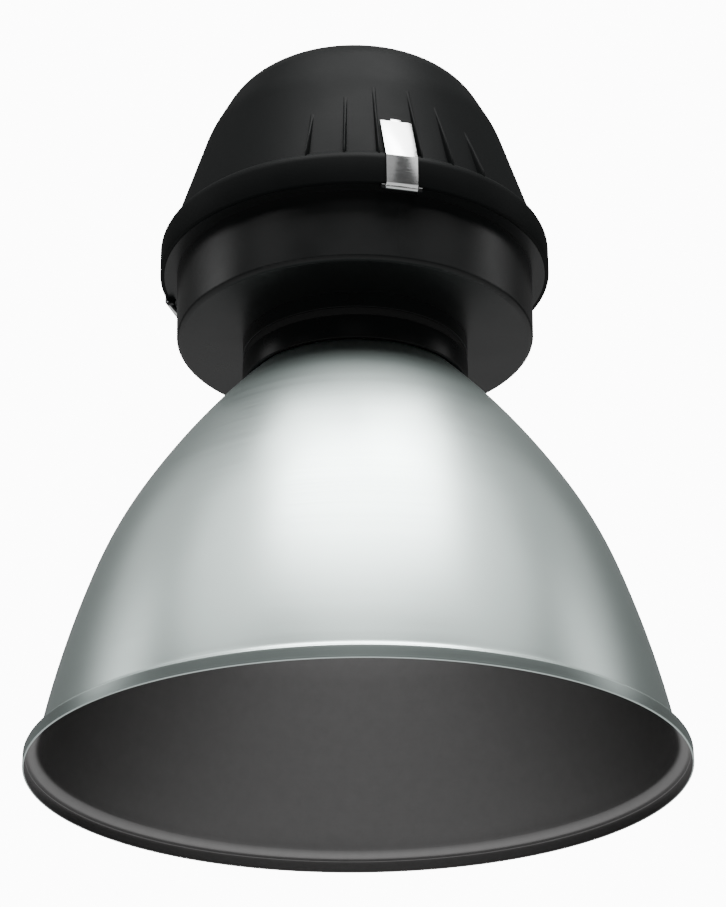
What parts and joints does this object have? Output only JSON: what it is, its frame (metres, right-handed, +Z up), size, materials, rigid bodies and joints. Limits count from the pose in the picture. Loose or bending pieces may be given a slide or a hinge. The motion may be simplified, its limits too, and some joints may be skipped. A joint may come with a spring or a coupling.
{
  "type": "high bay light",
  "caption": "Hanging industrial light: round black gear housing with spring clips over a deep spun aluminium reflector.",
  "frame": {"origin": "centre of the reflector's mouth, in the plane of the rim's lower edge", "axes": "+Z up the axis of the light, -Y towards the first clip and the ribs"},
  "size_m": [0.4898, 0.49, 0.626],
  "materials": {
    "black_cast": "satin black powder coat on a casting",
    "black_neck": "satin black paint",
    "spun_aluminium": "satin anodised, spun",
    "clip_steel": "bright stainless spring steel",
    "zinc_steel": "zinc plated",
    "black_rubber": "matt",
    "porcelain": "glazed porcelain",
    "brass": "nickel-free brass",
    "bulb_glass": "glass coated white inside",
    "core_steel": "varnished sheet steel stack",
    "coil_resin": "resin over copper winding",
    "can_aluminium": "drawn can",
    "ignitor_plastic": "moulded",
    "terminal_plastic": "moulded",
    "gland_plastic": "moulded nylon",
    "eye_steel": "forged and zinc plated"
  },
  "bodies": {
    "light": {"ballast_base": "zinc_steel", "ballast_coil": "coil_resin", "ballast_core": "core_steel", "bracket_screws": "zinc_steel", "capacitor": "can_aluminium", "clip_pin_1": "zinc_steel", "clip_pin_2": "zinc_steel", "clip_pin_3": "zinc_steel", "dome_cover": "black_cast", "earth_nut": "brass", "earth_screw": "brass", "eye_nut": "zinc_steel", "eye_washer": "black_rubber", "gear_bowl": "black_cast", "gear_screws": "zinc_steel", "gear_tray": "zinc_steel", "gland_body": "gland_plastic", "gland_locknut": "gland_plastic", "gland_nut": "gland_plastic", "gland_seal": "black_rubber", "housing_gasket": "black_rubber", "ignitor": "ignitor_plastic", "lamp_bulb": "bulb_glass", "lamp_cap": "brass", "lampholder_body": "porcelain", "lampholder_bracket": "zinc_steel", "lampholder_contact": "brass", "lampholder_screws": "zinc_steel", "lampholder_shell": "brass", "neck_gasket": "black_rubber", "neck_spacer": "black_neck", "reflector": "spun_aluminium", "reflector_collar": "black_neck", "stud_nuts": "zinc_steel", "suspension_eye": "eye_steel", "terminal_block": "terminal_plastic", "terminal_screws": "zinc_steel", "tie_nuts": "zinc_steel", "tie_screws": "zinc_steel", "tray_screws": "zinc_steel"},
    "clip_1": {"clip_1": "clip_steel"},
    "clip_2": {"clip_2": "clip_steel"},
    "clip_3": {"clip_3": "clip_steel"}
  },
  "joints": [
    {"name": "clip_1_swing", "type": "hinge", "parent": "light", "child": "clip_1", "pos_m": [0, -0.1524, 0.41055], "axis": [1, 0, 0], "range_deg": [0, 150]},
    {"name": "clip_2_swing", "type": "hinge", "parent": "light", "child": "clip_2", "pos_m": [0.13198, 0.0762, 0.41055], "axis": [-0.5, 0.866, 0], "range_deg": [0, 150]},
    {"name": "clip_3_swing", "type": "hinge", "parent": "light", "child": "clip_3", "pos_m": [-0.13198, 0.0762, 0.41055], "axis": [-0.5, -0.866, 0], "range_deg": [0, 150]}
  ]
}
